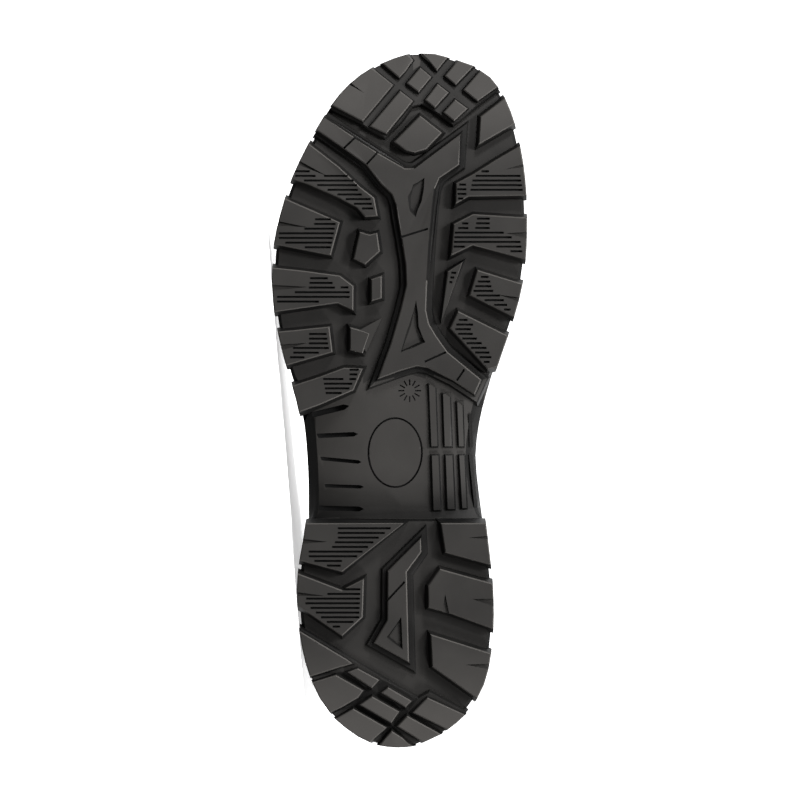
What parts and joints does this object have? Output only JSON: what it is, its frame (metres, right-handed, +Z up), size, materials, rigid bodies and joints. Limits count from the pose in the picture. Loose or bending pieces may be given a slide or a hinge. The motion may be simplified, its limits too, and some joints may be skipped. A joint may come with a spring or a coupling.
{
  "type": "tactical boot",
  "caption": "Empty lace-up boot with a deep lugged rubber outsole, arched waist and heel breast, hollow leather upper, tongue, insole and laced throat, lying on its lateral side.",
  "frame": {"origin": "on the floor, under the centre of the bounding box", "axes": "+Z up from the floor, towards the medial side; -X along the foot to the toe; +Y up the shaft to the collar; the tread faces -Y"},
  "size_m": [0.3036, 0.2402, 0.115],
  "materials": {
    "black_rubber": "matte",
    "black_leather": "satin",
    "black_textile": "matte",
    "grey_footbed": "matte",
    "black_eyelet": "satin",
    "black_lace": "matte"
  },
  "bodies": {
    "root": {"outsole": "black_rubber", "upper": "black_leather", "tongue": "black_textile", "insole": "grey_footbed", "eyelet_lateral_1": "black_eyelet", "eyelet_lateral_2": "black_eyelet", "eyelet_lateral_3": "black_eyelet", "eyelet_lateral_4": "black_eyelet", "eyelet_lateral_5": "black_eyelet", "eyelet_lateral_6": "black_eyelet", "eyelet_lateral_7": "black_eyelet", "eyelet_lateral_8": "black_eyelet", "eyelet_medial_1": "black_eyelet", "eyelet_medial_2": "black_eyelet", "eyelet_medial_3": "black_eyelet", "eyelet_medial_4": "black_eyelet", "eyelet_medial_5": "black_eyelet", "eyelet_medial_6": "black_eyelet", "eyelet_medial_7": "black_eyelet", "eyelet_medial_8": "black_eyelet", "lace_bar_1": "black_lace", "lace_bar_2": "black_lace", "lace_bar_3": "black_lace", "lace_bar_4": "black_lace", "lace_bar_5": "black_lace", "lace_bar_6": "black_lace", "lace_bar_7": "black_lace", "lace_bar_8": "black_lace"}
  },
  "joints": []
}
